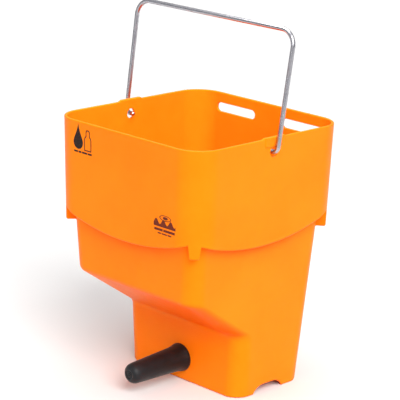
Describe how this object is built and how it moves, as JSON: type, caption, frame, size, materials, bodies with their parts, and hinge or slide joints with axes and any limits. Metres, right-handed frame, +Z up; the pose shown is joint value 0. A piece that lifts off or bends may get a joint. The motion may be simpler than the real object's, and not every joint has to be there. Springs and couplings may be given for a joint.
{
  "type": "calf teat feeder",
  "caption": "Square moulded feeding bucket with a cut-back lower front, a rubber teat through it, and a swinging wire bail.",
  "frame": {"origin": "on the plane of the feet, under the middle of the rim", "axes": "+Z up, the teat points along -Y, X runs along the bail's hinge axis"},
  "size_m": [0.2374, 0.2234, 0.4054],
  "materials": {
    "bucket": "orange polyethylene, fine satin skin",
    "teat": "black moulded rubber",
    "bail": "bright drawn wire",
    "print": "black pad-printed ink"
  },
  "bodies": {
    "feeder": {"bucket": "bucket", "teat": "teat"},
    "bail": {"bail": "bail"}
  },
  "joints": [
    {"name": "bail_hinge", "type": "hinge", "parent": "feeder", "child": "bail", "pos_m": [0, 0, 0.278], "axis": [1, 0, 0], "range_deg": [-107.8, 123.2]}
  ]
}
